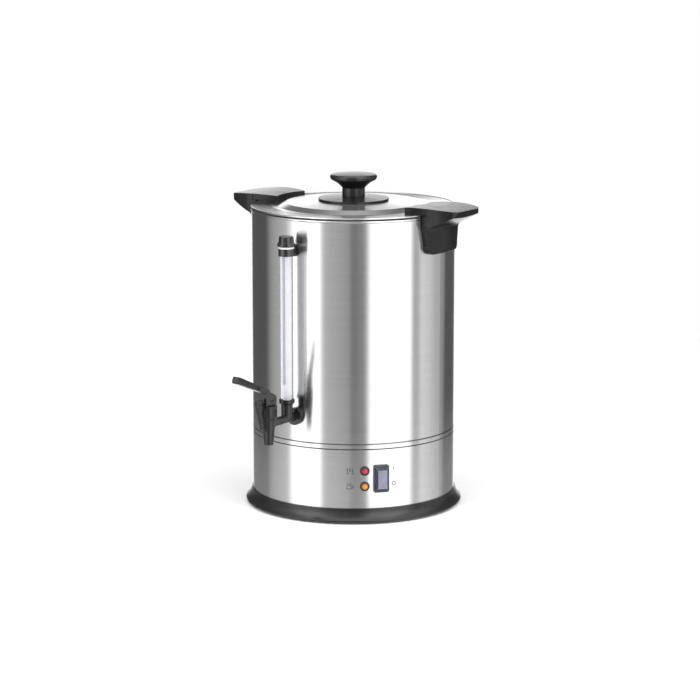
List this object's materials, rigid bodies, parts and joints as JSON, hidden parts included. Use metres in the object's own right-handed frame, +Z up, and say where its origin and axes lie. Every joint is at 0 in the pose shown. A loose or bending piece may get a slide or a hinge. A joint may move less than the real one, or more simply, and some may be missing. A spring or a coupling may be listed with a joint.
{
  "type": "coffee urn",
  "caption": "Upright steel percolator urn with a lift-off lid, side handles, sight gauge, lever tap, lamps and a rocker switch on a plastic foot ring.",
  "frame": {"origin": "on the floor, under the middle of the whole depth, 59.8 mm in front of the tank's axis", "axes": "+Z up, tap and gauge along -Y, handles along +X and -X"},
  "size_m": [0.3424, 0.3976, 0.4246],
  "materials": {
    "steel": "brushed round the body, bright",
    "inner_steel": "plain drawn sheet",
    "black_plastic": "moulded, semi gloss",
    "dark_plastic": "moulded, satin",
    "clear_plastic": "clear tube",
    "ring_plastic": "milky white",
    "red_lens": "translucent red",
    "amber_lens": "translucent amber",
    "boot_plastic": "smoky clear cover",
    "window_plastic": "pale violet grey pane",
    "rubber": "matt",
    "plated_steel": "plated",
    "brass": "bare",
    "aluminium": "plain cast",
    "element_steel": "dull sheath",
    "wire_cover": "wire insulation"
  },
  "bodies": {
    "urn": {"amber_lamp_lens": "amber_lens", "base_skirt": "steel", "boil_element": "element_steel", "bottom_plate": "plated_steel", "bottom_screws": "plated_steel", "bracket_screw": "plated_steel", "foot_ring": "black_plastic", "gauge_bracket": "black_plastic", "gauge_ring": "ring_plastic", "gauge_tee": "black_plastic", "gauge_tube": "clear_plastic", "handle_screws": "plated_steel", "handle_washers": "rubber", "heater_nuts": "plated_steel", "heater_plate": "aluminium", "inlet_pins": "brass", "inlet_screws": "plated_steel", "inlet_socket": "dark_plastic", "keep_warm_element": "element_steel", "lamp_bezels": "dark_plastic", "lamp_bodies": "dark_plastic", "lead_wires": "wire_cover", "left_handle": "black_plastic", "red_lamp_lens": "red_lens", "right_handle": "black_plastic", "rubber_feet": "rubber", "shank_lock_nut": "black_plastic", "shank_seals": "rubber", "snap_thermostats": "brass", "switch_boot": "boot_plastic", "switch_housing": "dark_plastic", "switch_tabs": "brass", "tank_shell": "steel", "tap_body": "black_plastic", "tap_bonnet": "black_plastic", "tap_spring": "plated_steel", "terminal_block": "dark_plastic", "thermal_fuse": "brass"},
    "percolator": {"pump_tube": "inner_steel", "pump_foot": "inner_steel"},
    "pump_valve": {"pump_washer": "inner_steel"},
    "basket": {"filter_basket": "inner_steel"},
    "basket_lid": {"basket_cover": "inner_steel"},
    "lid_seal": {"lid_gasket": "rubber"},
    "lid": {"lid_disc": "steel", "left_lid_lug": "black_plastic", "right_lid_lug": "black_plastic", "lug_rivets": "plated_steel", "knob_flange": "black_plastic", "lid_knob": "black_plastic", "knob_screw": "plated_steel"},
    "lever": {"tap_lever": "black_plastic"},
    "valve": {"tap_stem": "plated_steel", "tap_seat_cup": "rubber", "cross_pin": "plated_steel"},
    "rocker": {"rocker_button": "dark_plastic", "rocker_window": "window_plastic"},
    "cap": {"gauge_cap": "black_plastic"}
  },
  "joints": [
    {"name": "percolator_lift", "type": "slide", "parent": "urn", "child": "percolator", "axis": [0, 0, 1], "range_m": [0, 0.32]},
    {"name": "pump_valve_float", "type": "slide", "parent": "percolator", "child": "pump_valve", "axis": [0, 0, 1], "range_m": [0, 0.003]},
    {"name": "basket_lift", "type": "slide", "parent": "percolator", "child": "basket", "axis": [0, 0, 1], "range_m": [0, 0.12]},
    {"name": "basket_cover_lift", "type": "slide", "parent": "basket", "child": "basket_lid", "axis": [0, 0, 1], "range_m": [0, 0.04]},
    {"name": "lid_lift", "type": "slide", "parent": "basket_lid", "child": "lid_seal", "axis": [0, 0, 1], "range_m": [0, 0.15]},
    {"name": "lid_turn", "type": "hinge", "parent": "lid_seal", "child": "lid", "pos_m": [0, 0.05978, 0], "axis": [0, 0, 1], "range_deg": [0, 30]},
    {"name": "lever_press", "type": "hinge", "parent": "urn", "child": "lever", "pos_m": [0, -0.13852, 0.1575], "axis": [1, 0, 0], "range_deg": [0, 16.5], "stiffness_Nm_per_rad": 0.4, "springref_deg": -11.46},
    {"name": "valve_lift", "type": "slide", "parent": "urn", "child": "valve", "axis": [0, 0, 1], "range_m": [0, 0.00298], "deforming": ["tap_spring"]},
    {"name": "rocker_tip", "type": "hinge", "parent": "urn", "child": "rocker", "pos_m": [0.09977, -0.02695, 0.0564], "axis": [0.6561, 0.7547, 0], "range_deg": [0, 16]},
    {"name": "cap_lift", "type": "slide", "parent": "urn", "child": "cap", "axis": [0, 0, 1], "range_m": [0, 0.03]}
  ],
  "couplings": [
    {"joint": "lever_press", "follows": "valve_lift", "rad_per_m": 93.4}
  ]
}
